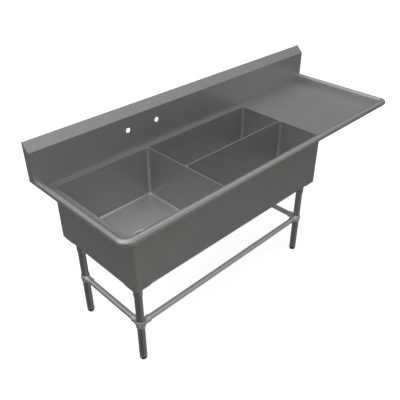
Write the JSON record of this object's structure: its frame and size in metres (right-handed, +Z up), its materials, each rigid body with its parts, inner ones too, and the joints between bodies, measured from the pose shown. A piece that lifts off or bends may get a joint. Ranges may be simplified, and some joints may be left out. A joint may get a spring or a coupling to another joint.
{
  "type": "three compartment sink",
  "caption": "Free-standing stainless sink with compartments of two sizes, a boxed backsplash, a rolled rim, a drainboard on the right, and tubular legs with cross rails and adjustable feet.",
  "frame": {"origin": "on the floor, under the middle of the overall length and depth", "axes": "+X along the length towards the drainboard, +Y from the front rim towards the wall, +Z up"},
  "size_m": [2.17, 0.754, 1.112],
  "materials": {
    "stainless_sheet": "satin brushed stainless sheet",
    "stainless_channel": "mill finish stainless hat channel",
    "stainless_tube": "polished stainless tube",
    "drain_steel": "polished stainless drain fitting",
    "cast_metal": "cast, lightly blasted",
    "zinc_plate": "zinc plated steel",
    "black_plastic": "moulded black plastic",
    "rubber": "black rubber"
  },
  "bodies": {
    "sink": {"bowl_left": "stainless_sheet", "bowl_front_right": "stainless_sheet", "bowl_rear_right": "stainless_sheet", "divider_cap": "stainless_sheet", "deck_frame": "stainless_sheet", "drainboard": "stainless_sheet", "rim_left": "stainless_sheet", "rim_front": "stainless_sheet", "rim_right": "stainless_sheet", "rim_corner_left": "stainless_sheet", "rim_corner_right": "stainless_sheet", "backsplash_panel": "stainless_sheet", "backsplash_end_left": "stainless_sheet", "backsplash_end_right": "stainless_sheet", "apron": "stainless_sheet", "apron_rear": "stainless_sheet", "drainboard_channel_front": "stainless_channel", "drainboard_channel_rear": "stainless_channel", "drain_flange_left": "drain_steel", "drain_strainer_left": "drain_steel", "drain_gasket_left": "rubber", "drain_locknut_left": "cast_metal", "drain_flange_front_right": "drain_steel", "drain_strainer_front_right": "drain_steel", "drain_gasket_front_right": "rubber", "drain_locknut_front_right": "cast_metal", "drain_flange_rear_right": "drain_steel", "drain_strainer_rear_right": "drain_steel", "drain_gasket_rear_right": "rubber", "drain_locknut_rear_right": "cast_metal", "leg_socket_front_left": "stainless_tube", "leg_front_left": "stainless_tube", "foot_insert_front_left": "zinc_plate", "rail_fitting_front_left": "cast_metal", "fitting_screw_front_left": "zinc_plate", "leg_socket_front_right": "stainless_tube", "leg_front_right": "stainless_tube", "foot_insert_front_right": "zinc_plate", "rail_fitting_front_right": "cast_metal", "fitting_screw_front_right": "zinc_plate", "leg_socket_rear_left": "stainless_tube", "leg_rear_left": "stainless_tube", "foot_insert_rear_left": "zinc_plate", "rail_fitting_rear_left": "cast_metal", "fitting_screw_rear_left": "zinc_plate", "leg_socket_rear_right": "stainless_tube", "leg_rear_right": "stainless_tube", "foot_insert_rear_right": "zinc_plate", "rail_fitting_rear_right": "cast_metal", "fitting_screw_rear_right": "zinc_plate", "rail_front": "stainless_tube", "rail_left": "stainless_tube", "rail_right": "stainless_tube"},
    "foot_front_left": {"foot_front_left": "black_plastic"},
    "foot_front_right": {"foot_front_right": "black_plastic"},
    "foot_rear_left": {"foot_rear_left": "black_plastic"},
    "foot_rear_right": {"foot_rear_right": "black_plastic"}
  },
  "joints": [
    {"name": "foot_front_left_adjust", "type": "slide", "parent": "sink", "child": "foot_front_left", "axis": [0, 0, -1], "range_m": [0, 0.025]},
    {"name": "foot_front_right_adjust", "type": "slide", "parent": "sink", "child": "foot_front_right", "axis": [0, 0, -1], "range_m": [0, 0.025]},
    {"name": "foot_rear_left_adjust", "type": "slide", "parent": "sink", "child": "foot_rear_left", "axis": [0, 0, -1], "range_m": [0, 0.025]},
    {"name": "foot_rear_right_adjust", "type": "slide", "parent": "sink", "child": "foot_rear_right", "axis": [0, 0, -1], "range_m": [0, 0.025]}
  ]
}
